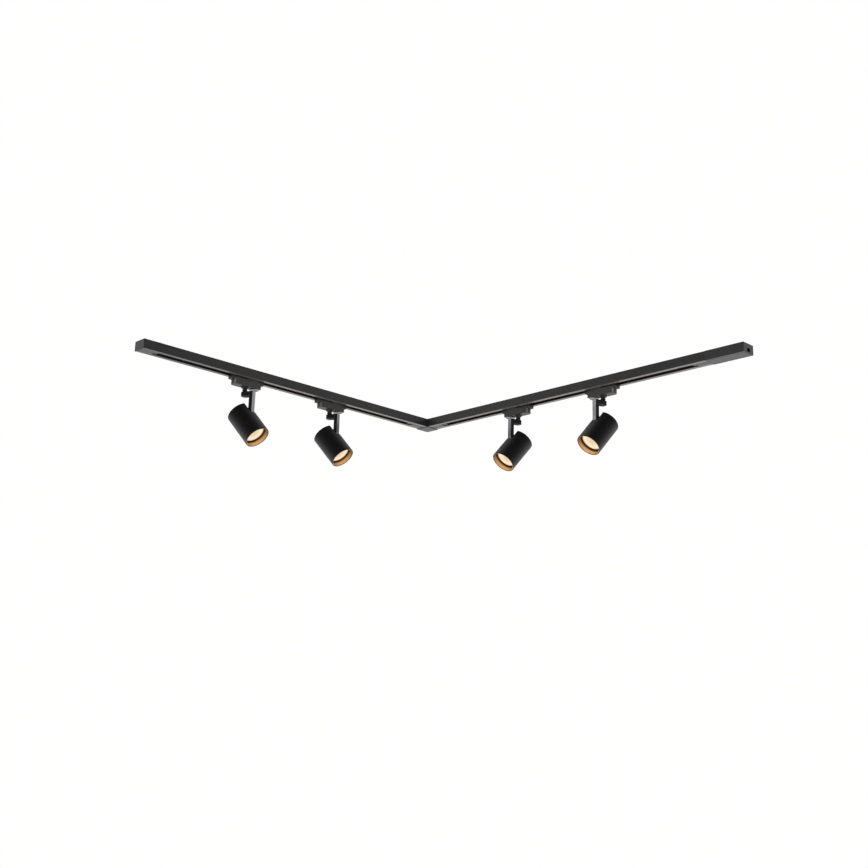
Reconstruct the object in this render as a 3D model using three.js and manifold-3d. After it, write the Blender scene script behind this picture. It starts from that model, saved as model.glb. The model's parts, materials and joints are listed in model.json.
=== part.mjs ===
// L-shaped single-circuit track light: two surface rails joined by a corner connector,
// a power feed, an end cap, and four adjustable spots for a 50 mm reflector lamp.
//
// Millimetres, +Z up. The origin is the middle of the corner connector's top face, which
// lies on the ceiling. One rail runs along +X and the other along -Y. The feed closes the
// +X rail and the end cap closes the -Y rail.
import * as THREE from 'three';
import * as BufferGeometryUtils from 'three/addons/utils/BufferGeometryUtils.js';
import Module from 'manifold-3d';

const wasm = await Module();
wasm.setup();

// ---------------------------------------------------------------- driving dimensions

const ASSEMBLY_GAP = 0.3; // between pieces that touch
const RUNNING_GAP = 0.3; // around every turning or sliding piece
const OVERLAP = 1; // how far one shape runs into another that it joins, or a tool past a face

const rail = {
  length: 800,
  width: 35,
  height: 20,
  wall: 1.5,
  lip: 1.8, // thickness of the two lower lips
  slot: 16, // open width between the lips
  fixingHole: 4.5, // diameter of the ceiling screw holes
  fixingInset: 100, // from each end of the rail to its screw hole
};

const liner = { roof: 1.4, side: 3.6, skirt: 1.2, shelf: 1.5 }; // shelf: under the conductor

const conductor = { width: 2.2, height: 3.2, drop: 6.2 }; // drop: from the liner's roof

const corner = { proud: 1, drop: 1, tongue: 37, coverThick: 1.2, coverInset: 1.6 };

// A tongue closes a rail's slot with a flush plate. Its nose, which carries the contacts,
// reaches further in above the lips.
const tongue = { plateThick: 2.6, noseHeight: 7, noseLength: 11 };

// The two conductors inside the corner, with a contact at each end that reaches out to a rail's
// conductor. inset is from the side of the tongue, and set from the end of its nose.
const link = { width: 2.4, height: 2.4, inset: 1.9, set: 2, contactLength: 4 };

const endCap = { thick: 2.5, tongue: 30, proud: 0.5, bevel: 0.8, screw: 22 };

const screwHole = { radius: 2.2, depth: 1 }; // the sunk screws of the end cap and the feed

const feed = {
  length: 90,
  wall: 2,
  proud: 0.5,
  tongue: 28,
  coverThick: 1.6,
  coverInset: 5,
  coverLedge: 1,
  coverScrew: 24, // from the rail's end to the cover's screw
  entryWidth: 10,
  entryHeight: 8,
};

const terminal = {
  place: 0.55, // its middle, as a share of the feed's length
  length: 26,
  width: 14,
  height: 10,
  wellRadius: 1.8,
  wellDepth: 4,
};

const adapter = {
  bodyLength: 70,
  bodyWidth: 20,
  bodyBottom: 19, // below the rail
  noseGap: 3.5, // between the rail and the top of the nose
  bridgeFrom: -28, // where the body reaches up to the rail, along it from the swivel
  bridgeTo: 2,
  carrierBack: 44, // from the swivel towards the corner
  carrierFront: 40, // from the swivel towards the nose
  carrierBottom: 8.5,
  carrierTop: 6, // above the rail's bottom, inside its cavity
  slotClearance: 0.4, // each side, between the carrier and the rail's lips
};

const dial = {
  offset: 24,
  radius: 10.5,
  thick: 2.2,
  rim: 1.6,
  edge: 0.4,
  sunk: 0.6, // depth of the face inside the rim
  grip: 2.4,
  gripHeight: 0.7, // of the grip bar over the sunk face
  shaft: 3.2,
};

const cam = { width: 7, height: 4, reach: 0.8 }; // reach: how far it stays off the conductors

const swivel = {
  bossRadius: 9,
  bossEdge: 1,
  bossHeight: 4.8,
  neckRadius: 5,
  neckHeight: 6.4,
  washerProud: 1,
  washerHeight: 1.2,
  spindleRadius: 4,
  flangeProud: 2.2,
  flangeThick: 1.6,
  flangeDepth: 4, // floor of the housing under the flange
};

const arm = {
  back: 5, // behind the swivel axis
  front: 24, // in front of it
  blockHeight: 10.8,
  stemThick: 8.5,
  eyeRadius: 8.2,
  width: 14,
  edge: 0.8,
  headRoom: 17, // from the block's underside to the level of a head's rear that points down
};

const pivot = { pinRadius: 2, lugGap: 1.2, lugThick: 6.5, lugLength: 12, lugDepth: 4.5 };

const head = {
  clearance: 1.5, // round the lamp
  wall: 1.5,
  rearWall: 2,
  pivotFromRear: 18,
  eyeInset: 0.4, // of the arm's eye from the tube's outside
  slotWidth: 24,
  slotClearance: 0.8, // round the arm's eye
  lip: 0.6, // rounding of the two rims
};

const lamp = {
  recess: 13, // from the mouth to the lamp's face
  radius: 25,
  rimDepth: 3,
  rimWall: 2.5, // with the gap round the lens
  lensThick: 2.4,
  eyeClearance: 0.9, // between its neck and the arm's eye
  coneClearance: 4.8, // between its cone and the arm's eye
  length: 46, // without its two pins
  pinRadius: 1.5,
  pinSpacing: 10,
  pinLength: 6,
};

const socket = { height: 17.4 };

const ring = { wall: 0.9, flange: 1.8, flangeThick: 1, setBack: 0.5 };

// Where each spot stands, as a share of its rail's length from the corner end, and how it is
// aimed, in degrees: its heading from the rail's normal towards the corner, its tilt from
// straight down.
const spots = [
  { name: 'left_outer', leg: 'left', place: 0.67125, heading: 22, tilt: 40 },
  { name: 'left_inner', leg: 'left', place: 0.37125, heading: 22, tilt: 40 },
  { name: 'right_inner', leg: 'right', place: 0.355, heading: 15, tilt: 40 },
  { name: 'right_outer', leg: 'right', place: 0.6625, heading: 15, tilt: 40 },
];

const ROUND = { tube: 40, lamp: 24, small: 16, pin: 10 }; // sides of the round pieces

// ---------------------------------------------------------------- materials

function finish(color, roughness, metalness) {
  return () => new THREE.MeshStandardMaterial({ color, roughness, metalness });
}

const materials = {
  coatedAluminium: finish(0x2b2a2c, 0.5, 0.4),
  darkPlastic: finish(0x3a393b, 0.55, 0),
  adapterPlastic: finish(0x454446, 0.5, 0),
  dialMetal: finish(0x9a9a9c, 0.4, 0.7),
  blackMetal: finish(0x161617, 0.5, 0.4),
  armMetal: finish(0x4b4b4d, 0.42, 0.5),
  headBlack: finish(0x1c1b1d, 0.55, 0.3),
  goldRing: finish(0xc08a45, 0.35, 0.9),
  lens: finish(0xfff1d6, 0.3, 0),
  lampShell: finish(0x1a1512, 0.5, 0),
  ceramic: finish(0xe6e2d8, 0.6, 0),
  steel: finish(0xb4b4b6, 0.35, 0.9),
  copper: finish(0xb8713f, 0.35, 0.95),
  camPlastic: finish(0x1c1b1d, 0.55, 0),
  liner: finish(0x201f21, 0.6, 0),
};

// ---------------------------------------------------------------- geometry helpers

function toSolid(geometry) {
  const bare = geometry.clone();
  bare.deleteAttribute('normal');
  bare.deleteAttribute('uv');
  const merged = BufferGeometryUtils.mergeVertices(bare, 1e-4);
  const solid = new wasm.Manifold(new wasm.Mesh({
    numProp: 3,
    vertProperties: new Float32Array(merged.attributes.position.array),
    triVerts: new Uint32Array(merged.index.array),
  }));
  return solid;
}

function toGeometry(solid) {
  const mesh = solid.getMesh();
  const geometry = new THREE.BufferGeometry();
  geometry.setAttribute('position', new THREE.BufferAttribute(mesh.vertProperties, 3));
  geometry.setIndex(new THREE.BufferAttribute(mesh.triVerts, 1));
  return geometry;
}

function joined(...geometries) {
  return toGeometry(geometries.map(toSolid).reduce((sum, next) => sum.add(next)));
}

function cut(geometry, ...tools) {
  return toGeometry(tools.map(toSolid).reduce((rest, tool) => rest.subtract(tool), toSolid(geometry)));
}

// A box from its low and high corners.
function block([x0, y0, z0], [x1, y1, z1]) {
  const box = new THREE.BoxGeometry(x1 - x0, y1 - y0, z1 - z0);
  return box.translate((x0 + x1) / 2, (y0 + y1) / 2, (z0 + z1) / 2);
}

// An upright cylinder between two heights.
function post(radius, z0, z1, x = 0, y = 0, sides = ROUND.small) {
  const cylinder = new THREE.CylinderGeometry(radius, radius, z1 - z0, sides);
  return cylinder.rotateX(Math.PI / 2).translate(x, y, (z0 + z1) / 2);
}

// A cylinder along Y, centred on the origin.
function crossPin(radius, length, sides = ROUND.pin) {
  return new THREE.CylinderGeometry(radius, radius, length, sides);
}

// A solid turned about Z from [radius, z] points listed upwards on its outside. A profile
// that stays off the axis closes on itself.
function turned(points, sides) {
  const profile = points.map(([radius, z]) => new THREE.Vector2(radius, z));
  const onAxis = points[0][0] === 0 && points[points.length - 1][0] === 0;
  if (!onAxis) profile.push(profile[0].clone());
  const lathe = new THREE.LatheGeometry(profile, sides);
  lathe.rotateX(Math.PI / 2);
  return lathe;
}

// An outline in the YZ plane, extruded along X.
function extrudedAlongX(outline, x0, x1) {
  const shape = new THREE.Shape(outline.map(([y, z]) => new THREE.Vector2(y, z)));
  const bar = new THREE.ExtrudeGeometry(shape, { depth: x1 - x0, bevelEnabled: false });
  bar.rotateX(Math.PI / 2).rotateZ(Math.PI / 2);
  return bar.translate(x0, 0, 0);
}

// A shape in the XZ plane, extruded to both sides of it along Y, with a small bevel.
function slabAcrossY(shape, width, bevel) {
  const slab = new THREE.ExtrudeGeometry(shape, {
    depth: width - 2 * bevel,
    bevelEnabled: bevel > 0,
    bevelThickness: bevel,
    bevelSize: bevel,
    bevelOffset: -bevel,
    bevelSegments: 1,
    curveSegments: 5,
  });
  return slab.translate(0, 0, bevel - width / 2).rotateX(Math.PI / 2);
}

function part(name, geometry, material) {
  const mesh = new THREE.Mesh(geometry, material());
  mesh.name = name;
  return mesh;
}

function groupOf(...children) {
  const group = new THREE.Group();
  group.add(...children);
  return group;
}

// ---------------------------------------------------------------- one rail

// Every piece of a leg is drawn with X running from the corner along the rail, Z = 0 at the
// rail's bottom, and Y across it. The rail starts clear of the corner connector.
const cornerHalf = rail.width / 2 + corner.proud;
const railStart = cornerHalf + ASSEMBLY_GAP;
const railEnd = railStart + rail.length;
const cavityHalf = rail.width / 2 - rail.wall;
const cavityRoof = rail.height - rail.wall;
const linerHalf = cavityHalf - ASSEMBLY_GAP;
const linerRoof = cavityRoof - ASSEMBLY_GAP;
const linerBottom = rail.lip + ASSEMBLY_GAP;
const throatHalf = linerHalf - liner.side; // half the open width between the liner's walls
const grooveTop = linerRoof - conductor.drop;
const grooveHalf = throatHalf + conductor.width; // groove floor, from the middle
const tongueHalf = rail.slot / 2 - ASSEMBLY_GAP;
const tongueTop = tongue.plateThick + tongue.noseHeight;

function fixingHoles(z0, z1) {
  const places = [railStart + rail.fixingInset, railEnd - rail.fixingInset];
  return places.map((x) => post(rail.fixingHole / 2, z0, z1, x, 0, ROUND.pin));
}

function railProfile() {
  const out = rail.width / 2;
  const half = [
    [rail.slot / 2, 0],
    [out, 0],
    [out, rail.height],
  ];
  const inside = [
    [cavityHalf, cavityRoof],
    [cavityHalf, rail.lip],
    [rail.slot / 2, rail.lip],
  ];
  const mirror = (points) => points.map(([y, z]) => [-y, z]).reverse();
  return [...half, ...mirror(half), ...mirror(inside), ...inside];
}

function railBody() {
  const bar = extrudedAlongX(railProfile(), railStart, railEnd);
  return cut(bar, ...fixingHoles(cavityRoof - OVERLAP, rail.height + OVERLAP));
}

// The insulating liner: a roof with two walls, each with a groove that holds a conductor.
function linerProfile() {
  const grooveLow = grooveTop - conductor.height - 2 * ASSEMBLY_GAP;
  const half = [
    [linerHalf - liner.skirt, linerBottom],
    [linerHalf, linerBottom],
    [linerHalf, linerRoof],
  ];
  const inside = [
    [throatHalf, linerRoof - liner.roof],
    [throatHalf, grooveTop],
    [grooveHalf + ASSEMBLY_GAP, grooveTop],
    [grooveHalf + ASSEMBLY_GAP, grooveLow],
    [throatHalf, grooveLow],
    [throatHalf, grooveLow - liner.shelf],
    [linerHalf - liner.skirt, grooveLow - liner.shelf],
  ];
  const mirror = (points) => points.map(([y, z]) => [-y, z]).reverse();
  return [...half, ...mirror(half), ...mirror(inside), ...inside];
}

function linerBody() {
  const bar = extrudedAlongX(linerProfile(), railStart, railEnd);
  return cut(bar, ...fixingHoles(linerRoof - liner.roof - OVERLAP, linerRoof + OVERLAP));
}

function conductorBar(side) {
  const top = grooveTop - ASSEMBLY_GAP;
  const near = side * throatHalf;
  const far = side * grooveHalf;
  return block(
    [railStart, Math.min(near, far), top - conductor.height],
    [railEnd, Math.max(near, far), top],
  );
}

// The tongue of a fitting: its plate runs from x0 to x1, and its nose past the end that
// noseSide (-1 or 1) names.
function tongueShape(x0, x1, noseSide) {
  const plate = block([x0, -tongueHalf, 0], [x1, tongueHalf, tongue.plateThick]);
  const low = noseSide < 0 ? x0 - tongue.noseLength : x0;
  const high = noseSide < 0 ? x1 : x1 + tongue.noseLength;
  const nose = block([low, -tongueHalf, tongue.plateThick - OVERLAP], [high, tongueHalf, tongueTop]);
  return joined(plate, nose);
}

// ---------------------------------------------------------------- corner connector

// The corner block stands level with the rails' tops and a little below their bottoms. Its
// two tongues close the rails' slots and carry the links to the conductors.
const coverHalf = cornerHalf - corner.coverInset;
const cornerReach = railStart + corner.tongue;
const linkMiddle = tongueHalf - link.inset - link.width / 2;

function cornerBody() {
  const shell = block([-cornerHalf, -cornerHalf, -corner.drop], [cornerHalf, cornerHalf, rail.height]);
  const tongueAlongX = tongueShape(0, cornerReach, 1);
  const tongueAlongY = tongueAlongX.clone().rotateZ(-Math.PI / 2);
  const coverSeat = block(
    [-coverHalf, -coverHalf, -corner.drop - OVERLAP],
    [coverHalf, coverHalf, corner.coverThick - corner.drop + ASSEMBLY_GAP],
  );
  const linkRoom = [-1, 1].map((side) => linkShape(side, ASSEMBLY_GAP, OVERLAP));
  return cut(joined(shell, tongueAlongX, tongueAlongY), coverSeat, ...linkRoom);
}

function cornerCover() {
  const half = coverHalf - ASSEMBLY_GAP;
  return block([-half, -half, -corner.drop], [half, half, corner.coverThick - corner.drop]);
}

// A block drawn on the X leg, and its twin on the -Y leg across the corner's diagonal.
function onBothLegs([x0, y0, z0], [x1, y1, z1]) {
  return [block([x0, y0, z0], [x1, y1, z1]), block([-y1, -x1, z0], [-y0, -x0, z1])];
}

// An L-shaped conductor, sunk in the tops of the two tongues. Side 1 passes outside the bend.
// The room for it has clearance around it and is open above by openTop.
function linkShape(side, clearance = 0, openTop = 0) {
  const middle = side * linkMiddle;
  const half = link.width / 2 + clearance;
  const low = tongueTop - link.height - clearance;
  const high = tongueTop + openTop;
  const reach = cornerReach + tongue.noseLength - link.set;
  const contactEnd = side * (throatHalf - ASSEMBLY_GAP);
  const bar = onBothLegs([-middle - half, middle - half, low], [reach + clearance, middle + half, high]);
  const contact = onBothLegs(
    [reach - link.contactLength - clearance, Math.min(middle, contactEnd), low],
    [reach + clearance, Math.max(middle, contactEnd), high],
  );
  return joined(...bar, ...contact);
}

// ---------------------------------------------------------------- end cap and feed

function capOutline(proud) {
  const half = rail.width / 2 + proud;
  return [[-half, -proud], [half, -proud], [half, rail.height], [-half, rail.height]];
}

// A sunk screw in the lower face of a fitting.
function screwSink(x, face) {
  return post(screwHole.radius, face - OVERLAP, face + screwHole.depth, x, 0, ROUND.pin);
}

function endCapBody() {
  const start = railEnd + ASSEMBLY_GAP;
  const end = start + endCap.thick;
  const plate = extrudedAlongX(capOutline(endCap.proud), start, end - endCap.bevel);
  const face = extrudedAlongX(capOutline(endCap.proud - endCap.bevel), start, end);
  const plug = tongueShape(railEnd - endCap.tongue, start + OVERLAP, -1);
  return cut(joined(plate, face, plug), screwSink(railEnd - endCap.screw, 0));
}

const feedStart = railEnd + ASSEMBLY_GAP;
const feedEnd = feedStart + feed.length;
const feedHalf = rail.width / 2 + feed.proud;
const feedCoverHalf = feedHalf - feed.coverInset;
const terminalMiddle = feedStart + feed.length * terminal.place;

// A box that continues the rail, hollow for the terminal block, open below under its cover
// and at its end for the supply cable.
function feedBody() {
  const outside = extrudedAlongX(capOutline(feed.proud), feedStart, feedEnd);
  const plug = tongueShape(railEnd - feed.tongue, feedStart + OVERLAP, -1);
  const ceiling = rail.height - feed.wall;
  const ledge = -feed.proud + feed.coverThick + ASSEMBLY_GAP;
  const room = block(
    [feedStart + feed.wall, feed.wall - feedHalf, ledge + feed.coverLedge],
    [feedEnd - feed.wall, feedHalf - feed.wall, ceiling],
  );
  const hatch = block(
    [feedStart + feed.coverInset, -feedCoverHalf + feed.wall, -feed.proud],
    [feedEnd - feed.coverInset, feedCoverHalf - feed.wall, ledge + feed.coverLedge + OVERLAP],
  );
  const coverSeat = block(
    [feedStart + feed.coverInset - feed.wall, -feedCoverHalf, -feed.proud - OVERLAP],
    [feedEnd - feed.coverInset + feed.wall, feedCoverHalf, ledge],
  );
  const entryLow = ledge + feed.coverLedge;
  const entry = block(
    [feedEnd - feed.wall - OVERLAP, -feed.entryWidth / 2, entryLow],
    [feedEnd + OVERLAP, feed.entryWidth / 2, entryLow + feed.entryHeight],
  );
  return cut(joined(outside, plug), room, hatch, coverSeat, entry);
}

function feedCover() {
  const half = feedCoverHalf - ASSEMBLY_GAP;
  const x0 = feedStart + feed.coverInset - feed.wall + ASSEMBLY_GAP;
  const x1 = feedEnd - feed.coverInset + feed.wall - ASSEMBLY_GAP;
  const plate = block([x0, -half, -feed.proud], [x1, half, feed.coverThick - feed.proud]);
  return cut(plate, screwSink(feedStart + feed.coverScrew, -feed.proud));
}

function feedTerminal() {
  const top = rail.height - feed.wall - ASSEMBLY_GAP;
  const bottom = top - terminal.height;
  const { length, width } = terminal;
  const body = block(
    [terminalMiddle - length / 2, -width / 2, bottom],
    [terminalMiddle + length / 2, width / 2, top],
  );
  const wells = [[-1, -1], [-1, 1], [1, -1], [1, 1]].map(([row, side]) => post(
    terminal.wellRadius,
    bottom - OVERLAP,
    bottom + terminal.wellDepth,
    terminalMiddle + row * length / 4,
    side * width / 4,
    ROUND.pin,
  ));
  return cut(body, ...wells);
}

// ---------------------------------------------------------------- spot adapter

// A spot is drawn with Z = 0 at the rail's bottom and its swivel axis on Z. X runs along the
// rail, away from the corner.
const carrierHalf = rail.slot / 2 - adapter.slotClearance;
const swivelTop = swivel.flangeThick + swivel.flangeDepth - adapter.bodyBottom;
const flangeRadius = swivel.spindleRadius + swivel.flangeProud;

function adapterOutline() {
  const half = adapter.bodyWidth / 2;
  const noseCentre = adapter.bodyLength / 2 - half;
  const shape = new THREE.Shape();
  shape.moveTo(-adapter.bodyLength / 2, -half);
  shape.lineTo(noseCentre, -half);
  shape.absarc(noseCentre, 0, half, -Math.PI / 2, Math.PI / 2, false);
  shape.lineTo(-adapter.bodyLength / 2, half);
  shape.closePath();
  return shape;
}

function adapterHousing() {
  const body = new THREE.ExtrudeGeometry(adapterOutline(), {
    depth: adapter.bodyBottom - adapter.noseGap,
    bevelEnabled: false,
    curveSegments: 10,
  }).translate(0, 0, -adapter.bodyBottom);
  const half = adapter.bodyWidth / 2;
  const bridge = block(
    [adapter.bridgeFrom, -half, -adapter.noseGap - OVERLAP],
    [adapter.bridgeTo, half, -RUNNING_GAP],
  );
  const carrier = block(
    [-adapter.carrierBack, -carrierHalf, -adapter.carrierBottom],
    [adapter.carrierFront, carrierHalf, adapter.carrierTop],
  );
  const low = -adapter.bodyBottom - OVERLAP;
  const dialBore = post(dial.shaft + RUNNING_GAP, low, adapter.carrierTop + OVERLAP, -dial.offset, 0);
  const flangeSeat = swivelTop - swivel.flangeThick - RUNNING_GAP;
  const spindleBore = turned([
    [0, low],
    [swivel.spindleRadius + RUNNING_GAP, low],
    [swivel.spindleRadius + RUNNING_GAP, flangeSeat],
    [flangeRadius + RUNNING_GAP, flangeSeat],
    [flangeRadius + RUNNING_GAP, swivelTop + RUNNING_GAP],
    [0, swivelTop + RUNNING_GAP],
  ], ROUND.small);
  return cut(joined(body, bridge, carrier), dialBore, spindleBore);
}

// The lock dial: a rimmed disc with a grip bar, on a shaft that turns the cam.
const dialTop = -adapter.bodyBottom - RUNNING_GAP;

function lockDial() {
  const rimFace = dialTop - dial.thick;
  const face = rimFace + dial.sunk;
  const reach = dial.radius - dial.rim;
  const disc = turned([
    [0, face],
    [reach, face],
    [reach, rimFace],
    [dial.radius - dial.edge, rimFace],
    [dial.radius, rimFace + dial.edge],
    [dial.radius, dialTop],
    [dial.shaft, dialTop],
    [dial.shaft, adapter.carrierTop + RUNNING_GAP],
    [0, adapter.carrierTop + RUNNING_GAP],
  ], ROUND.lamp);
  const grip = block(
    [-reach, -dial.grip / 2, face - dial.gripHeight],
    [reach, dial.grip / 2, dialTop - OVERLAP],
  );
  return joined(disc, grip).translate(-dial.offset, 0, 0);
}

function contactCam() {
  const low = adapter.carrierTop + 2 * RUNNING_GAP;
  const half = throatHalf - cam.reach;
  const bar = block([-cam.width / 2, -half, low], [cam.width / 2, half, low + cam.height]);
  return bar.translate(-dial.offset, 0, 0);
}

// ---------------------------------------------------------------- swivel and arm

// Drawn with X along the direction in which the spot is aimed.
const neckTop = dialTop - swivel.bossHeight;
const armTop = neckTop - swivel.neckHeight;
const armBlockBottom = armTop - ASSEMBLY_GAP - arm.blockHeight;
const pivotX = arm.front - arm.eyeRadius; // the eye is flush with the stem's front
const pivotZ = armBlockBottom - arm.headRoom - head.pivotFromRear;

function swivelBody() {
  const washerMiddle = (neckTop + armTop) / 2;
  const washerBottom = washerMiddle - swivel.washerHeight / 2;
  const washerTop = washerMiddle + swivel.washerHeight / 2;
  return turned([
    [0, armTop],
    [swivel.neckRadius, armTop],
    [swivel.neckRadius, washerBottom],
    [swivel.neckRadius + swivel.washerProud, washerBottom],
    [swivel.neckRadius + swivel.washerProud, washerTop],
    [swivel.neckRadius, washerTop],
    [swivel.neckRadius, neckTop],
    [swivel.bossRadius, dialTop - swivel.bossEdge],
    [swivel.bossRadius, dialTop],
    [swivel.spindleRadius, dialTop],
    [swivel.spindleRadius, swivelTop - swivel.flangeThick],
    [flangeRadius, swivelTop - swivel.flangeThick],
    [flangeRadius, swivelTop],
    [0, swivelTop],
  ], ROUND.small);
}

function armBody() {
  const top = armTop - ASSEMBLY_GAP;
  const flare = Math.acos((arm.stemThick - arm.eyeRadius) / arm.eyeRadius);
  const shape = new THREE.Shape();
  shape.moveTo(-arm.back, top);
  shape.lineTo(-arm.back, armBlockBottom);
  shape.lineTo(arm.front - arm.stemThick, armBlockBottom);
  shape.absarc(pivotX, pivotZ, arm.eyeRadius, Math.PI - flare, 2 * Math.PI, false);
  shape.lineTo(arm.front, top);
  shape.closePath();
  const slab = slabAcrossY(shape, arm.width, arm.edge);
  const bore = crossPin(pivot.pinRadius + RUNNING_GAP, arm.width + 2 * OVERLAP);
  return cut(slab, bore.translate(pivotX, 0, pivotZ));
}

// ---------------------------------------------------------------- lamp head

// Drawn pointing straight down, with its axis on Z and its rear at Z = 0. The tilt pivot is
// ahead of the axis, inside the slot that the arm passes through.
const headRadius = lamp.radius + head.clearance + head.wall;
const boreRadius = headRadius - head.wall;
const holderTop = -head.rearWall - ASSEMBLY_GAP;
const holderBottom = holderTop - socket.height;
const lampEnd = holderBottom - ASSEMBLY_GAP;
const faceZ = lampEnd - lamp.length;
const mouthZ = faceZ - lamp.recess;
const pivotFromAxis = headRadius - arm.eyeRadius - head.eyeInset;
const lampNeckRadius = pivotFromAxis - arm.eyeRadius - lamp.eyeClearance;
const lensRadius = lamp.radius - lamp.rimWall - ASSEMBLY_GAP;
const lugInner = arm.width / 2 + pivot.lugGap;
const lugOuter = lugInner + pivot.lugThick;

function headTube() {
  const tube = turned([
    [0, -head.rearWall],
    [boreRadius, -head.rearWall],
    [boreRadius, mouthZ],
    [headRadius - head.lip, mouthZ],
    [headRadius, mouthZ + head.lip],
    [headRadius, -head.lip],
    [headRadius - head.lip, 0],
    [0, 0],
  ], ROUND.tube);
  const z = -head.pivotFromRear;
  const eyeRoom = arm.eyeRadius + head.slotClearance;
  const slot = block(
    [pivotFromAxis - eyeRoom, -head.slotWidth / 2, z - eyeRoom],
    [headRadius + OVERLAP, head.slotWidth / 2, OVERLAP],
  );
  const lugEnd = Math.sqrt(boreRadius ** 2 - lugOuter ** 2) + head.wall / 2;
  const lugs = [-1, 1].map((side) => block(
    [pivotFromAxis - pivot.lugDepth, Math.min(side * lugInner, side * lugOuter), z - pivot.lugLength / 2],
    [lugEnd, Math.max(side * lugInner, side * lugOuter), z + pivot.lugLength / 2],
  ));
  const bore = crossPin(pivot.pinRadius + ASSEMBLY_GAP, 2 * (lugOuter + OVERLAP));
  return cut(joined(cut(tube, slot), ...lugs), bore.translate(pivotFromAxis, 0, z));
}

function pivotPin() {
  const length = 2 * (lugOuter - ASSEMBLY_GAP);
  return crossPin(pivot.pinRadius, length).translate(pivotFromAxis, 0, -head.pivotFromRear);
}

function lampPins(radius, z0, z1) {
  return [-1, 1].map((side) => post(radius, z0, z1, 0, side * lamp.pinSpacing / 2, ROUND.pin));
}

function lampHolder() {
  const body = post(lampNeckRadius, holderBottom, holderTop);
  const pinRoom = lampPins(
    lamp.pinRadius + ASSEMBLY_GAP,
    holderBottom - OVERLAP,
    lampEnd + lamp.pinLength + ASSEMBLY_GAP,
  );
  return cut(body, ...pinRoom);
}

function lampBody() {
  const seat = faceZ + lamp.lensThick + ASSEMBLY_GAP;
  const seatRadius = lensRadius + ASSEMBLY_GAP;
  const coneEnd = -head.pivotFromRear - arm.eyeRadius - lamp.coneClearance;
  const shell = turned([
    [0, seat],
    [seatRadius, seat],
    [seatRadius, faceZ],
    [lamp.radius, faceZ],
    [lamp.radius, faceZ + lamp.rimDepth],
    [lampNeckRadius, coneEnd],
    [lampNeckRadius, lampEnd],
    [0, lampEnd],
  ], ROUND.lamp);
  return joined(shell, ...lampPins(lamp.pinRadius, lampEnd - OVERLAP, lampEnd + lamp.pinLength));
}

function lampLens() {
  return turned([
    [0, faceZ],
    [lensRadius, faceZ],
    [lensRadius, faceZ + lamp.lensThick],
    [0, faceZ + lamp.lensThick],
  ], ROUND.lamp);
}

function frontRing() {
  const outside = boreRadius - ASSEMBLY_GAP;
  const inside = outside - ring.wall;
  const back = faceZ - ASSEMBLY_GAP;
  const front = mouthZ + ring.setBack;
  return turned([
    [inside, front],
    [outside, front],
    [outside, back],
    [inside - ring.flange, back],
    [inside - ring.flange, back - ring.flangeThick],
    [inside, back - ring.flangeThick],
  ], ROUND.tube);
}

// ---------------------------------------------------------------- assembly

// inward is the side of a rail, along its own Y, on which the L is open. The live conductors
// run on the other side.
function leg(side, inward) {
  return groupOf(
    part(`${side}_track_rail`, railBody(), materials.coatedAluminium),
    part(`${side}_track_liner`, linerBody(), materials.liner),
    part(`${side}_live_conductor`, conductorBar(-inward), materials.copper),
    part(`${side}_neutral_conductor`, conductorBar(inward), materials.copper),
  );
}

function lampHead(name, tilt) {
  const pieces = groupOf(
    part(`${name}_pivot_pin`, pivotPin(), materials.steel),
    part(`${name}_head_tube`, headTube(), materials.headBlack),
    part(`${name}_lamp_holder`, lampHolder(), materials.ceramic),
    part(`${name}_lamp_body`, lampBody(), materials.lampShell),
    part(`${name}_lamp_lens`, lampLens(), materials.lens),
    part(`${name}_front_ring`, frontRing(), materials.goldRing),
  );
  pieces.position.set(-pivotFromAxis, 0, head.pivotFromRear);
  const tilting = groupOf(pieces);
  tilting.position.set(pivotX, 0, pivotZ);
  tilting.rotation.y = -THREE.MathUtils.degToRad(tilt);
  return tilting;
}

function spot({ name, place, heading, tilt }, inward) {
  const turning = groupOf(
    part(`${name}_swivel`, swivelBody(), materials.blackMetal),
    part(`${name}_arm`, armBody(), materials.armMetal),
    lampHead(name, tilt),
  );
  turning.rotation.z = inward * THREE.MathUtils.degToRad(90 + heading);
  const sliding = groupOf(
    part(`${name}_adapter_housing`, adapterHousing(), materials.adapterPlastic),
    part(`${name}_lock_dial`, lockDial(), materials.dialMetal),
    part(`${name}_contact_cam`, contactCam(), materials.camPlastic),
    turning,
  );
  sliding.position.x = railStart + place * rail.length;
  return sliding;
}

const legs = {
  left: { group: leg('left', 1), inward: 1 },
  right: { group: leg('right', -1), inward: -1 },
};
legs.left.group.add(part('end_cap', endCapBody(), materials.darkPlastic));
legs.right.group.add(
  part('feed_housing', feedBody(), materials.darkPlastic),
  part('feed_cover', feedCover(), materials.darkPlastic),
  part('feed_terminal_block', feedTerminal(), materials.ceramic),
);
for (const light of spots) {
  const { group, inward } = legs[light.leg];
  group.add(spot(light, inward));
}
legs.left.group.rotation.z = -Math.PI / 2;

const fixture = groupOf(
  legs.left.group,
  legs.right.group,
  part('corner_connector', cornerBody(), materials.darkPlastic),
  part('corner_cover', cornerCover(), materials.darkPlastic),
  part('corner_live_link', linkShape(1), materials.copper),
  part('corner_neutral_link', linkShape(-1), materials.copper),
);
fixture.name = 'track_lighting_fixture';
fixture.position.z = -rail.height;

const model = groupOf(fixture);

export default model;
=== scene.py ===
"""Looks of the track lighting fixture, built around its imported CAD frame.

Metres, +Z up, in the CAD's own frame: the ceiling is at Z = 0, the fed rail runs along +X
and the capped rail along -Y.
"""

import json
import math

import bpy
from mathutils import Matrix, Vector


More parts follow.
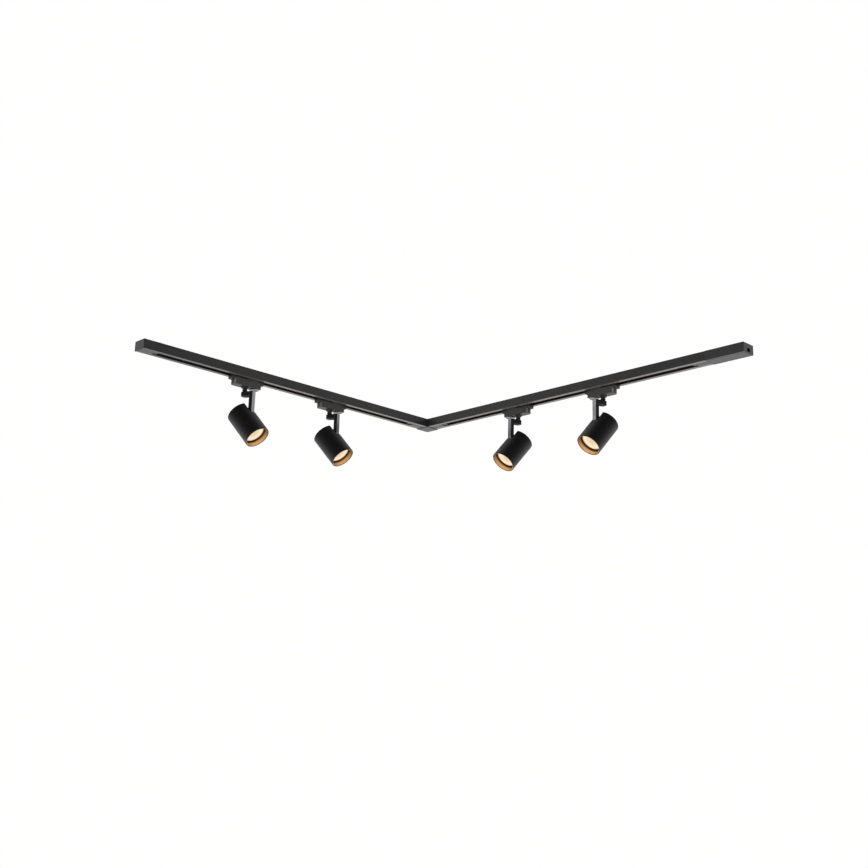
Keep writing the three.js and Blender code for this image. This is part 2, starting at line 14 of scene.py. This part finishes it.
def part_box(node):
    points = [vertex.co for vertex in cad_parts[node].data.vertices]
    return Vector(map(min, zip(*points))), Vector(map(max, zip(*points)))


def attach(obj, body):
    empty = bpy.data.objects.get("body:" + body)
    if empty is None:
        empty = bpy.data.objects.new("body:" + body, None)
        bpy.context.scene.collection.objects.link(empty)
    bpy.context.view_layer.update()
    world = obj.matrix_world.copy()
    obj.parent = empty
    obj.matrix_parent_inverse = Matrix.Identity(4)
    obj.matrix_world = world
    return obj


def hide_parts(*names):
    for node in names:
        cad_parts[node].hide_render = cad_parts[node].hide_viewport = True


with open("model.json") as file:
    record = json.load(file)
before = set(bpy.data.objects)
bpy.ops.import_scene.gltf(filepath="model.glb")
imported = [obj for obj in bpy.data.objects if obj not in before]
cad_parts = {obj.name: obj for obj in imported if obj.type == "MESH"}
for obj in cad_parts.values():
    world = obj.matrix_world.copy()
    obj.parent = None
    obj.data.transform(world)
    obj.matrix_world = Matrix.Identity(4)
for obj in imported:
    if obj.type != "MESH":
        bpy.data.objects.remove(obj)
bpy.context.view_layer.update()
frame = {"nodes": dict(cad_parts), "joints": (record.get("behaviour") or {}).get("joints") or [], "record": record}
RECORD = frame["record"]
MM = 0.001

# ------------------------------------------------------------------ sizes shared with the CAD

SPOTS = ("left_outer", "left_inner", "right_inner", "right_outer")
PIVOT_FROM_REAR = 18 * MM  # along a head's axis
PIVOT_FROM_AXIS = 19.4 * MM
LAMP_FACE = -66 * MM  # below the rear of a head that points down
LENS_RADIUS = 22.2 * MM
LENS_THICK = 2.4 * MM
DIAL_OFFSET = 24 * MM  # from the swivel, towards the corner
RAIL_BOTTOM = -20 * MM
SCREW_RADIUS = 2.2 * MM
SCREW_DEPTH = 1 * MM
CAP_SCREW_Y = -796.8 * MM
FEED_SCREW_X = 843.1 * MM
ARM_BLOCK_BOTTOM = -61.6 * MM
CARRIER_FROM = 3.5 * MM  # below the rail: from here up an adapter is its carrier, where the shade in the recess is painted black
TIP_HEIGHT = 2 * MM
TIP_HALF_LENGTH = 2.6 * MM
TIP_SINK = 0.6 * MM
TIP_PROUD = 0.5 * MM
HEXAGON = (0, math.pi / 3, 2 * math.pi / 3)  # the directions across its three pairs of flats


# ------------------------------------------------------------------ materials

class Nodes:
    """A material's node tree, with a short way to add and join nodes."""

    def __init__(self, name):
        self.material = bpy.data.materials.new(name)
        self.material.use_nodes = True
        self.tree = self.material.node_tree
        self.shader = self.tree.nodes["Principled BSDF"]

    def add(self, kind, **values):
        node = self.tree.nodes.new(kind)
        for key, value in values.items():
            if key in node.inputs:
                node.inputs[key].default_value = value
            else:
                setattr(node, key, value)
        return node

    def join(self, source, target):
        self.tree.links.new(source, target)

    def set(self, **values):
        for key, value in values.items():
            self.shader.inputs[key.replace("_", " ")].default_value = value


def rgba(colour):
    return (*colour, 1.0)


def coordinates(nodes, axes=None, stretch=(1, 1, 1)):
    """Object coordinates, or those of the empty named by axes, stretched."""
    source = nodes.add("ShaderNodeTexCoord")
    if axes is not None:
        source.object = axes
    mapping = nodes.add("ShaderNodeMapping", Scale=stretch)
    nodes.join(source.outputs["Object"], mapping.inputs["Vector"])
    return mapping.outputs["Vector"]


def noise(nodes, vector, size, detail=3.0):
    texture = nodes.add("ShaderNodeTexNoise", Scale=1 / size, Detail=detail)
    nodes.join(vector, texture.inputs["Vector"])
    return texture.outputs["Fac"]


def remapped(nodes, value, source, result, interpolation="LINEAR"):
    """Maps the range source of a value onto the range result, and holds it there."""
    ramp = nodes.add("ShaderNodeMapRange", interpolation_type=interpolation)
    for key, limit in zip(("From Min", "From Max", "To Min", "To Max"), (*source, *result)):
        ramp.inputs[key].default_value = limit
    nodes.join(value, ramp.inputs["Value"])
    return ramp.outputs["Result"]


def spread(nodes, factor, low, high):
    """Turns a noise's middle range into low to high."""
    return remapped(nodes, factor, (0.3, 0.7), (low, high))


def within(nodes, value, low, high):
    """A mask that goes from 0 to 1 as the value goes from low to high."""
    return remapped(nodes, value, (low, high), (0.0, 1.0))


def maths(nodes, operation, *values):
    node = nodes.add("ShaderNodeMath", operation=operation)
    for value, socket in zip(values, node.inputs):
        nodes.join(value, socket)
    return node.outputs["Value"]


def component(nodes, letter, axes=None):
    """One of the object coordinates: X, Y or Z."""
    split = nodes.add("ShaderNodeSeparateXYZ")
    nodes.join(coordinates(nodes, axes), split.inputs["Vector"])
    return split.outputs[letter]


def distance(nodes, vector):
    length = nodes.add("ShaderNodeVectorMath", operation="LENGTH")
    nodes.join(vector, length.inputs[0])
    return length.outputs["Value"]


def painted(nodes, factor, first, second):
    """Mixes two colours into the base colour. The first may be a socket."""
    mix = nodes.add("ShaderNodeMix", data_type="RGBA")
    if isinstance(first, bpy.types.NodeSocket):
        nodes.join(first, mix.inputs["A"])
    else:
        mix.inputs["A"].default_value = rgba(first)
    mix.inputs["B"].default_value = rgba(second)
    nodes.join(factor, mix.inputs["Factor"])
    nodes.join(mix.outputs["Result"], nodes.shader.inputs["Base Color"])


def clouded(nodes, vector, colour, variation, size=24 * MM, detail=2.0):
    """A base colour that gets lighter and darker by the share variation, in clouds."""
    cloud = spread(nodes, noise(nodes, vector, size, detail), 0.0, 1.0)
    darker = [c * (1 - variation) for c in colour]
    lighter = [c * (1 + variation) for c in colour]
    painted(nodes, cloud, darker, lighter)


def overlaid(nodes, mask, colour):
    """Lays a colour over the base colour where the mask is 1."""
    base = nodes.shader.inputs["Base Color"].links[0].from_socket
    painted(nodes, mask, base, colour)


def roughened(nodes, factor, low, high):
    nodes.join(spread(nodes, factor, low, high), nodes.shader.inputs["Roughness"])


def bumped(nodes, height, depth, strength=1.0):
    bump = nodes.add("ShaderNodeBump", Strength=strength, Distance=depth)
    nodes.join(height, bump.inputs["Height"])
    nodes.join(bump.outputs["Normal"], nodes.shader.inputs["Normal"])


def finish(name, colour, roughness, metallic=0.0, grain=0.5, depth=0.03, variation=0.1,
           rough_spread=0.06, **shader):
    """A finish with a fine grain, cloudy colour and uneven gloss. Grain and depth are in mm."""
    nodes = Nodes(name)
    nodes.set(Metallic=metallic, **shader)
    vector = coordinates(nodes)
    clouded(nodes, vector, colour, variation)
    roughened(nodes, noise(nodes, vector, 4 * grain * MM), roughness - rough_spread,
              roughness + rough_spread)
    bumped(nodes, noise(nodes, vector, grain * MM), depth * MM)
    return nodes.material


def turned_metal(name, colour, roughness, axes, pitch, depth):
    """Metal turned on a lathe: rings of pitch and depth round the Z axis of the empty axes."""
    nodes = Nodes(name)
    nodes.set(Metallic=1.0)
    vector = coordinates(nodes, axes)
    rings = nodes.add("ShaderNodeTexWave", wave_type="RINGS", rings_direction="Z",
                      Scale=1 / (2 * pitch * math.pi), Distortion=1.5, Detail=2.0)
    nodes.join(vector, rings.inputs["Vector"])
    clouded(nodes, vector, colour, 0.06, size=6 * MM, detail=3.0)
    roughened(nodes, rings.outputs["Fac"], roughness - 0.05, roughness + 0.08)
    bumped(nodes, rings.outputs["Fac"], depth, 0.6)
    return nodes.material


LENS_COLOURS = (  # by share of its radius
    (0.0, (0.82, 0.58, 0.36)),
    (0.32, (0.88, 0.66, 0.43)),
    (0.6, (0.97, 0.82, 0.59)),
    (0.84, (1.0, 0.91, 0.73)),
    (1.0, (0.62, 0.42, 0.24)),
)
UNLIT_LENS = (0.06, 0.045, 0.03)


def lit_lens(name, axes):
    """The lamp's lens: bright cream, warmer and dimmer towards its middle, in fine cells."""
    nodes = Nodes(name)
    radius = distance(nodes, coordinates(nodes, axes, (1 / LENS_RADIUS, 1 / LENS_RADIUS, 0)))
    ramp = nodes.add("ShaderNodeValToRGB")
    elements = ramp.color_ramp.elements
    while len(elements) < len(LENS_COLOURS):
        elements.new(0.5)
    for element, (place, colour) in zip(elements, LENS_COLOURS):
        element.position = place
        element.color = rgba(colour)
    nodes.join(radius, ramp.inputs["Fac"])
    cells = nodes.add("ShaderNodeTexVoronoi", Scale=1 / (2.6 * MM))
    nodes.join(coordinates(nodes, axes, (1, 1, 0)), cells.inputs["Vector"])
    glow = remapped(nodes, cells.outputs["Distance"], (0.0, 0.7), (1.06, 0.84))
    glowing = nodes.add("ShaderNodeVectorMath", operation="SCALE")
    nodes.join(ramp.outputs["Color"], glowing.inputs[0])
    nodes.join(glow, glowing.inputs["Scale"])
    nodes.join(glowing.outputs["Vector"], nodes.shader.inputs["Emission Color"])
    nodes.set(Base_Color=rgba(UNLIT_LENS), Roughness=0.3, Emission_Strength=1.0)
    bumped(nodes, noise(nodes, coordinates(nodes, axes), 0.8 * MM), 0.02 * MM)
    return nodes.material


GOLD = (0.92, 0.58, 0.28)
# painted shade: darker gold towards the arm's side of the head
ARM_SIDE_SHADED_GOLD = (0.2, 0.115, 0.05)
# painted shade: nearly black gold next to the lamp
LAMP_SIDE_SHADED_GOLD = (0.075, 0.036, 0.014)


def gold_inside(name, axes):
    """Satin gold, with painted shade next to the lamp and towards the arm's side of the head."""
    nodes = Nodes(name)
    nodes.set(Metallic=1.0)
    # painted shade, deepening towards the lamp's face
    lamp_side_shade = remapped(nodes, component(nodes, "Z", axes),
                      (LAMP_FACE - 8 * MM, LAMP_FACE - 0.8 * MM), (0.0, 1.0), "SMOOTHSTEP")
    painted(nodes, lamp_side_shade, GOLD, LAMP_SIDE_SHADED_GOLD)
    # painted shade, growing towards the arm's side of the head
    arm_side_shade = remapped(nodes, component(nodes, "X", axes), (-16 * MM, 27 * MM), (0.0, 0.72))
    overlaid(nodes, arm_side_shade, ARM_SIDE_SHADED_GOLD)
    brushed = noise(nodes, coordinates(nodes, axes, (0.15, 0.15, 1)), 0.6 * MM)
    roughened(nodes, brushed, 0.36, 0.5)
    bumped(nodes, brushed, 0.004 * MM)
    return nodes.material


RAIL_COAT = (0.033, 0.0315, 0.0325)
# painted highlight: the lighter colour of the lips' undersides
RAIL_LIP_HIGHLIGHT = (0.2, 0.18, 0.17)


def rail_coat(name, stretch, highlight_reach):
    """Satin coat with a fine drawn grain, and a painted highlight in streaks under the lips, near the corner."""
    nodes = Nodes(name)
    drawn = coordinates(nodes, stretch=stretch)
    clouded(nodes, coordinates(nodes), RAIL_COAT, 0.08)
    underside = within(nodes, component(nodes, "Z"),
                       RAIL_BOTTOM + 0.35 * MM, RAIL_BOTTOM + 0.1 * MM)
    streaks = spread(nodes, noise(nodes, drawn, 1.5 * MM), 0.55, 1.0)
    reached = within(nodes, distance(nodes, coordinates(nodes)), *highlight_reach)
    # painted highlight: the lips' undersides are painted lighter, in streaks, more so near the corner
    lip_highlight = maths(nodes, "MULTIPLY", maths(nodes, "MULTIPLY", underside, streaks), reached)
    overlaid(nodes, lip_highlight, RAIL_LIP_HIGHLIGHT)
    roughened(nodes, noise(nodes, drawn, 2.8 * MM), 0.28, 0.4)
    bumped(nodes, noise(nodes, drawn, 0.7 * MM), 0.018 * MM)
    return nodes.material


ADAPTER_GREY = (0.034, 0.033, 0.0335)
# painted shade: the black of the shaded recess
RECESS_SHADE_BLACK = (0.003, 0.003, 0.003)
CARRIER_HALF_WIDTH = 8.7 * MM


def adapter_plastic(name, axes):
    """Moulded grey plastic, with the insulating carrier in the recess below the rail painted black as shade."""
    nodes = Nodes(name)
    nodes.set(Specular_IOR_Level=0.5)
    vector = coordinates(nodes, axes)
    clouded(nodes, vector, ADAPTER_GREY, 0.08)
    # painted shade: the carrier's face in the recess below the rail is painted black
    recess_shade_height = within(nodes, component(nodes, "Z", axes),
                    -CARRIER_FROM - 0.15 * MM, -CARRIER_FROM + 0.15 * MM)
    off_middle = maths(nodes, "ABSOLUTE", component(nodes, "Y", axes))
    middle = within(nodes, off_middle, CARRIER_HALF_WIDTH + 0.5 * MM, CARRIER_HALF_WIDTH - 0.5 * MM)
    overlaid(nodes, maths(nodes, "MULTIPLY", recess_shade_height, middle), RECESS_SHADE_BLACK)
    roughened(nodes, noise(nodes, vector, 2.4 * MM), 0.42, 0.48)
    bumped(nodes, noise(nodes, vector, 0.6 * MM), 0.006 * MM)
    return nodes.material


ALONG = {"left": (1, 0.02, 1), "right": (0.02, 1, 1)}  # stretch of a grain that follows the rail
LIP_HIGHLIGHT_REACH = {"left": (0.82, 0.45), "right": (1.2, 1.0)}  # from the corner, for the painted lip highlight: none beyond, full within
SLOT_FINISHES = {
    "dark_plastic": finish("dark_plastic", (0.042, 0.039, 0.040), 0.4, grain=0.5, depth=0.02),
    "black_plastic": finish("black_plastic", (0.014, 0.014, 0.014), 0.5, grain=0.4),
    "liner_plastic": finish("liner_plastic", (0.008, 0.008, 0.009), 0.6, grain=0.8),
    "copper": finish("copper", (0.62, 0.32, 0.17), 0.34, 1.0, grain=0.3, depth=0.01,
                     variation=0.15),
    "white_ceramic": finish("white_ceramic", (0.62, 0.6, 0.55), 0.55, grain=0.6, depth=0.04),
    "black_metal": finish("black_metal", (0.012, 0.012, 0.013), 0.42, grain=0.3, depth=0.02),
    "arm_metal": finish("arm_metal", (0.1, 0.1, 0.104), 0.24, 0.9, grain=0.35, depth=0.0015,
                        rough_spread=0.01, Specular_Tint=rgba((0.25, 0.25, 0.26))),
    "steel": finish("steel", (0.5, 0.5, 0.51), 0.3, 1.0, grain=0.25, depth=0.01),
    "head_metal": finish("head_metal", (0.0066, 0.006, 0.0068), 0.46, grain=0.4, depth=0.01,
                         Specular_IOR_Level=0.4),
    "lamp_shell": finish("lamp_shell", (0.018, 0.011, 0.007), 0.5, grain=0.5),
}
DIAL_GREY = (0.34, 0.34, 0.35)


def axes_at(name, matrix, body):
    """An empty that rides on a body and gives textures their axes."""
    empty = bpy.data.objects.new(name, None)
    bpy.context.scene.collection.objects.link(empty)
    empty.matrix_world = matrix
    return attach(empty, body)


# ------------------------------------------------------------------ where each spot stands

JOINTS = {joint["name"]: joint for joint in frame["joints"]}


def space(x_axis, z_axis, origin):
    """The matrix of a space from two of its axes and its origin."""
    x_axis = Vector(x_axis).normalized()
    z_axis = Vector(z_axis).normalized()
    rotation = Matrix((x_axis, z_axis.cross(x_axis), z_axis)).transposed()
    return Matrix.Translation(origin) @ rotation.to_4x4()


def head_space(name):
    """A head's own axes: its rear centre, Z back along the tube, X towards the arm's side."""
    tilt = JOINTS[f"{name}_tilt"]
    pivot = Vector(tilt["pos_m"])
    level = Vector((0, 0, 1)).cross(Vector(tilt["axis"]))
    angle = -math.radians(tilt["range_deg"][0])
    aim = level * math.sin(angle) - Vector((0, 0, math.cos(angle)))
    across = level * math.cos(angle) + Vector((0, 0, math.sin(angle)))
    rear = pivot - aim * PIVOT_FROM_REAR - across * PIVOT_FROM_AXIS
    return space(across, -aim, rear)


def adapter_space(name):
    """An adapter's axes: on its swivel axis at the rail's bottom, X away from the corner."""
    swivel = Vector(JOINTS[f"{name}_pan"]["pos_m"])
    origin = Vector((swivel.x, swivel.y, RAIL_BOTTOM))
    return space(JOINTS[f"{name}_slide"]["axis"], (0, 0, 1), origin)


# ------------------------------------------------------------------ mesh helpers

def piece(name, vertices, faces, material, matrix, body, smooth=True):
    mesh = bpy.data.meshes.new(name)
    mesh.from_pydata(vertices, [], faces)
    mesh.update()
    for polygon in mesh.polygons:
        polygon.use_smooth = smooth
    mesh.materials.append(material)
    made = bpy.data.objects.new(name, mesh)
    bpy.context.scene.collection.objects.link(made)
    made.matrix_world = matrix
    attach(made, body)
    return made


def relief_disc(radius, height, base, rings, sides):
    """A closed disc from z = base up to height(x, y), in rings."""
    vertices = [(0, 0, height(0, 0))]
    for ring in range(1, rings + 1):
        for side in range(sides):
            angle = 2 * math.pi * side / sides
            x = radius * ring / rings * math.cos(angle)
            y = radius * ring / rings * math.sin(angle)
            vertices.append((x, y, height(x, y)))
    faces = [(0, 1 + s, 1 + (s + 1) % sides) for s in range(sides)]
    for ring in range(1, rings):
        inner = 1 + (ring - 1) * sides
        outer = inner + sides
        for s in range(sides):
            t = (s + 1) % sides
            faces.append((inner + s, outer + s, outer + t, inner + t))
    rim = 1 + (rings - 1) * sides
    foot = len(vertices)
    vertices += [(x, y, base) for x, y, _ in vertices[rim:rim + sides]]
    for s in range(sides):
        t = (s + 1) % sides
        faces.append((rim + s, foot + s, foot + t, rim + t))
    faces.append(tuple(foot + s for s in reversed(range(sides))))
    return vertices, faces


def smoothstep(value):
    value = min(1.0, max(0.0, value))
    return value * value * (3 - 2 * value)


# ------------------------------------------------------------------ carried-over CAD nodes

BEVELS = {"track_rail": 0.5, "housing": 0.5, "connector": 0.5, "end_cap": 0.4, "arm": 0.5,
          "head_tube": 0.2, "front_ring": 0.15, "lock_dial": 0.25, "swivel": 0.25}  # mm, by ending
DEFAULT_BEVEL = 0.2
SHARP = math.radians(32)
WELD_WITHIN = 0.002 * MM


def soften(node, made):
    """Rounds a CAD node's edges, and shades its round faces smoothly."""
    width = next((w for key, w in BEVELS.items() if node.endswith(key)), DEFAULT_BEVEL)
    weld = made.modifiers.new("weld", "WELD")
    weld.merge_threshold = WELD_WITHIN
    bevel = made.modifiers.new("edges", "BEVEL")
    bevel.width = width * MM
    bevel.segments = 3
    bevel.limit_method = "ANGLE"
    bevel.angle_limit = SHARP
    bevel.miter_outer = "MITER_ARC"
    bevel.harden_normals = False
    normals = made.modifiers.new("normals", "WEIGHTED_NORMAL")
    normals.weight = 50
    normals.keep_sharp = False
    for polygon in made.data.polygons:
        polygon.use_smooth = True


def dress(made, material):
    made.data.materials.clear()
    made.data.materials.append(material)


for subpart in RECORD["subparts"]:
    node = subpart["node"]
    slot_name = subpart["material_slot"]
    made = frame["nodes"][node]
    soften(node, made)
    if slot_name in SLOT_FINISHES:
        dress(made, SLOT_FINISHES[slot_name])

for side, stretch in ALONG.items():
    dress(frame["nodes"][f"{side}_track_rail"],
          rail_coat(f"coated_aluminium_{side}", stretch, LIP_HIGHLIGHT_REACH[side]))


# ------------------------------------------------------------------ lamps

FIELD_RADIUS = LENS_RADIUS * 0.97
FIELD_SLOPE = 1.2 * MM
FIELD_SINK = 0.35  # mm, as the two below
DISH_SINK = 0.9
DOME_HEIGHT = 0.09
DISH_RADIUS = 9 * MM
DISH_SLOPE = 5 * MM
DOME_PITCH = 3.2 * MM


def lens_height(x, y):
    """The lens's face: a flat rim, a field of small domes and a dished middle."""
    radius = math.hypot(x, y)
    field = smoothstep((FIELD_RADIUS - radius) / FIELD_SLOPE)
    dish = smoothstep((DISH_RADIUS - radius) / DISH_SLOPE)
    domes = sum(
        math.cos(2 * math.pi / DOME_PITCH * (x * math.cos(a) + y * math.sin(a))) for a in HEXAGON
    )
    return (-FIELD_SINK * field - DISH_SINK * dish + DOME_HEIGHT * field * (1 - dish) * domes) * MM


def add_lens(name, axes):
    flip = Matrix.Rotation(math.pi, 4, "X")
    seat = head_space(name) @ Matrix.Translation((0, 0, LAMP_FACE)) @ flip
    vertices, faces = relief_disc(LENS_RADIUS, lens_height, -LENS_THICK, rings=36, sides=96)
    lens = piece(f"{name}_lens", vertices, faces, lit_lens(f"{name}_lit_lens", axes), seat,
                 f"{name}_head")
    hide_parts(f"{name}_lamp_lens")


for name in SPOTS:
    head_axes = axes_at(f"{name}_head_axes", head_space(name), f"{name}_head")
    add_lens(name, head_axes)
    gold = gold_inside(f"{name}_gold", head_axes)
    dress(frame["nodes"][f"{name}_front_ring"], gold)
    adapter_axes = axes_at(f"{name}_adapter_axes", adapter_space(name), f"{name}_adapter")
    dress(frame["nodes"][f"{name}_adapter_housing"],
          adapter_plastic(f"{name}_adapter_plastic", adapter_axes))
    dial_space = adapter_space(name) @ Matrix.Translation((-DIAL_OFFSET, 0, 0))
    dial_axes = axes_at(f"{name}_dial_axes", dial_space, f"{name}_lock")
    dress(frame["nodes"][f"{name}_lock_dial"],
          turned_metal(f"{name}_dial_metal", DIAL_GREY, 0.36, dial_axes, 0.35 * MM, 0.006 * MM))


# ------------------------------------------------------------------ screws

CROSS_HEAD_RADIUS = SCREW_RADIUS * 0.93
CROSS_HEAD_EDGE = 0.45  # mm, as the two below
CROSS_HEAD_DOME = 0.22
CROSS_DEPTH = 0.55
CROSS_HALF_WIDTH = 0.26 * MM
CROSS_REACH = 1.25 * MM


def screw_face(x, y):
    """A domed head with a cross recess."""
    def in_slot(across, along):
        side = smoothstep((CROSS_HALF_WIDTH - abs(across)) / (0.12 * MM) + 0.5)
        return side * smoothstep((CROSS_REACH - abs(along)) / (0.15 * MM))

    dome = CROSS_HEAD_DOME * (1 - (math.hypot(x, y) / SCREW_RADIUS) ** 2)
    return (CROSS_HEAD_EDGE + dome - CROSS_DEPTH * max(in_slot(x, y), in_slot(y, x))) * MM


def add_screw(name, x_axis, at, body):
    """A screw sunk in a hole of the lower face at the point at, seen from below."""
    seat = space(x_axis, (0, 0, -1), at)
    vertices, faces = relief_disc(CROSS_HEAD_RADIUS, screw_face, 0.02 * MM, rings=28, sides=56)
    piece(name, vertices, faces, SLOT_FINISHES["steel"], seat, body)


feed_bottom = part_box("feed_cover")[0].z
add_screw("end_cap_screw", (0, 1, 0), (0, CAP_SCREW_Y, RAIL_BOTTOM + SCREW_DEPTH), "track")
add_screw("feed_screw", (1, 0, 0), (FEED_SCREW_X, 0, feed_bottom + SCREW_DEPTH), "track")

SOCKET_HEAD_RADIUS = SCREW_RADIUS * 1.25
SOCKET_HEAD = 1.0  # mm, as the two below
SOCKET_HEAD_ROUNDING = 0.35
SOCKET_DEPTH = 0.75
SOCKET_HALF_WIDTH = 1.15 * MM


def hex_face(x, y):
    """A flat head with a rounded edge and a hexagonal socket."""
    radius = math.hypot(x, y) / SCREW_RADIUS
    edge = smoothstep((radius - 0.8) / 0.2)
    reach = max(abs(x * math.cos(a) + y * math.sin(a)) for a in HEXAGON)
    socket = smoothstep((SOCKET_HALF_WIDTH - reach) / (0.14 * MM))
    return (SOCKET_HEAD - SOCKET_HEAD_ROUNDING * edge - SOCKET_DEPTH * socket) * MM


def add_arm_screw(name):
    """The socket screw that holds the arm to its swivel, in the underside of the arm's block."""
    at = Vector(JOINTS[f"{name}_pan"]["pos_m"])
    at.z = ARM_BLOCK_BOTTOM
    vertices, faces = relief_disc(SOCKET_HEAD_RADIUS, hex_face, -0.1 * MM, rings=28, sides=60)
    piece(f"{name}_arm_screw", vertices, faces, SLOT_FINISHES["steel"],
          space((1, 0, 0), (0, 0, -1), at), f"{name}_arm")


def add_contact_tips(name):
    """Copper blades at both ends of the cam, which press on the conductors once it is turned."""
    low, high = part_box(f"{name}_contact_cam")
    middle = (low + high) / 2
    along = adapter_space(name).to_3x3() @ Vector((1, 0, 0))
    across = Vector((-along.y, along.x, 0))
    reach = max(high.x - low.x, high.y - low.y) / 2
    vertices = []
    faces = []
    steps = 10
    for end in (-1, 1):
        for level in (-TIP_HEIGHT / 2, TIP_HEIGHT / 2):
            for step in range(steps + 1):
                share = 2 * step / steps - 1
                out = reach - TIP_SINK + (TIP_SINK + TIP_PROUD) * math.sqrt(1 - share ** 2)
                at = middle + along * share * TIP_HALF_LENGTH + across * end * out
                vertices.append(at + Vector((0, 0, level)))
        start = 0 if end < 0 else 2 * (steps + 1)
        lower = list(range(start, start + steps + 1))
        upper = [index + steps + 1 for index in lower]
        walls = [(lower[k], lower[k + 1], upper[k + 1], upper[k]) for k in range(steps)]
        walls += [(lower[-1], lower[0], upper[0], upper[-1]), tuple(reversed(lower)), tuple(upper)]
        faces += walls if end < 0 else [tuple(reversed(wall)) for wall in walls]
    piece(f"{name}_contact_tips", vertices, faces, SLOT_FINISHES["copper"],
          Matrix.Identity(4), f"{name}_lock", smooth=False)


for name in SPOTS:
    add_arm_screw(name)
    add_contact_tips(name)


# ------------------------------------------------------------------ floor, light and camera

def add_floor(radius, z, colour, glow, sides=96):
    """A pale round floor that glows a little, so that it lights the object softly from below."""
    mesh = bpy.data.meshes.new("floor")
    angles = [2 * math.pi * side / sides for side in range(sides)]
    ring = [(radius * math.cos(angle), radius * math.sin(angle), z) for angle in angles]
    mesh.from_pydata(ring, [], [tuple(range(sides))])
    mesh.materials.append(
        finish("pale_floor", colour, 0.85, grain=60, depth=0.2, variation=0.01,
               Emission_Color=rgba((1, 1, 1)), Emission_Strength=glow)
    )
    floor = bpy.data.objects.new("floor", mesh)
    bpy.context.scene.collection.objects.link(floor)


def add_softbox(name, place, target, size, power, colour=(1, 1, 1), only=None):
    """A soft light. With only, it is flagged off from all but the nodes with that start and end."""
    data = bpy.data.lights.new(name, "AREA")
    data.shape = "RECTANGLE"
    data.size, data.size_y = size
    data.energy = power
    data.color = colour
    light = bpy.data.objects.new(name, data)
    light.visible_camera = False
    if only is not None:
        lit = bpy.data.collections.new(f"{name}_lit")
        start, end = only
        for node, made in frame["nodes"].items():
            if node.startswith(start) and node.endswith(end):
                lit.objects.link(made)
        light.light_linking.receiver_collection = lit
    turn = (Vector(target) - Vector(place)).to_track_quat("-Z", "Y")
    light.matrix_world = Matrix.Translation(place) @ turn.to_matrix().to_4x4()
    bpy.context.scene.collection.objects.link(light)


def studio_world(backdrop, dim, bright, towards, turning):
    """A white backdrop. The light from it grows from dim to bright in the direction towards.

    Turning is where that happens, in cosines of the angle to towards.
    """
    world = bpy.data.worlds.new("studio")
    world.use_nodes = True
    tree = world.node_tree
    background = tree.nodes["Background"]
    coordinate = tree.nodes.new("ShaderNodeTexCoord")
    facing = tree.nodes.new("ShaderNodeVectorMath")
    facing.operation = "DOT_PRODUCT"
    facing.inputs[1].default_value = Vector(towards).normalized()
    ramp = tree.nodes.new("ShaderNodeMapRange")
    ramp.interpolation_type = "SMOOTHSTEP"
    for key, limit in zip(("From Min", "From Max", "To Min", "To Max"), (*turning, dim, bright)):
        ramp.inputs[key].default_value = limit
    path = tree.nodes.new("ShaderNodeLightPath")
    choose = tree.nodes.new("ShaderNodeMix")
    tree.links.new(coordinate.outputs["Generated"], facing.inputs[0])
    tree.links.new(facing.outputs["Value"], ramp.inputs["Value"])
    tree.links.new(path.outputs["Is Camera Ray"], choose.inputs["Factor"])
    tree.links.new(ramp.outputs["Result"], choose.inputs["A"])
    choose.inputs["B"].default_value = backdrop
    tree.links.new(choose.outputs["Result"], background.inputs["Strength"])
    background.inputs["Color"].default_value = rgba((1.0, 0.998, 0.996))
    bpy.context.scene.world = world


def add_camera(place, yaw, pitch, roll, lens):
    """Looks along yaw from +Y towards +X, raised by pitch. Angles in degrees."""
    yaw, pitch, roll = (math.radians(angle) for angle in (yaw, pitch, roll))
    ahead = Vector((math.sin(yaw) * math.cos(pitch), math.cos(yaw) * math.cos(pitch),
                    math.sin(pitch)))
    right = Vector((math.cos(yaw), -math.sin(yaw), 0))
    up = right.cross(ahead)
    rolled_right = right * math.cos(roll) + up * math.sin(roll)
    data = bpy.data.cameras.new("camera")
    data.lens = lens
    data.sensor_width = 36
    data.clip_end = 50
    camera = bpy.data.objects.new("camera", data)
    bpy.context.scene.collection.objects.link(camera)
    camera.matrix_world = space(rolled_right, -ahead, place)
    bpy.context.scene.camera = camera


bpy.context.scene.view_settings.view_transform = "Standard"
studio_world(backdrop=1.0, dim=0.06, bright=1.15, towards=(-0.7, 0.7, 0), turning=(-0.45, 0.55))
add_floor(radius=9.0, z=-2.4, colour=(0.88, 0.88, 0.88), glow=0.35)
add_softbox("inner_light", (0.75, -0.75, -0.5), (0.2, -0.2, -0.03), (0.6, 0.6), 2.4)
for side, place, target in (("left", (0.8, -1.72, 0.36), (0.0, -0.45, -0.04)),
                            ("right", (1.72, -0.8, 0.36), (0.45, 0.0, -0.04))):
    add_softbox(f"{side}_strip", place, target, (0.4, 0.8), 13.0, colour=(1, 0.9, 0.8),
                only=(side, "adapter_housing"))
for side, place, target in (("left", (0.28, 1.0, 0.36), (0.0, -0.45, -0.1)),
                            ("right", (-1.0, -0.5, 0.36), (0.45, 0.0, -0.1))):
    add_softbox(f"{side}_back", place, target, (0.6, 0.6), 2.9, only=(side, "_arm"))
add_camera((2.0937, -2.0145, -0.7914), yaw=-45.77, pitch=14.65, roll=1.53, lens=49.88)
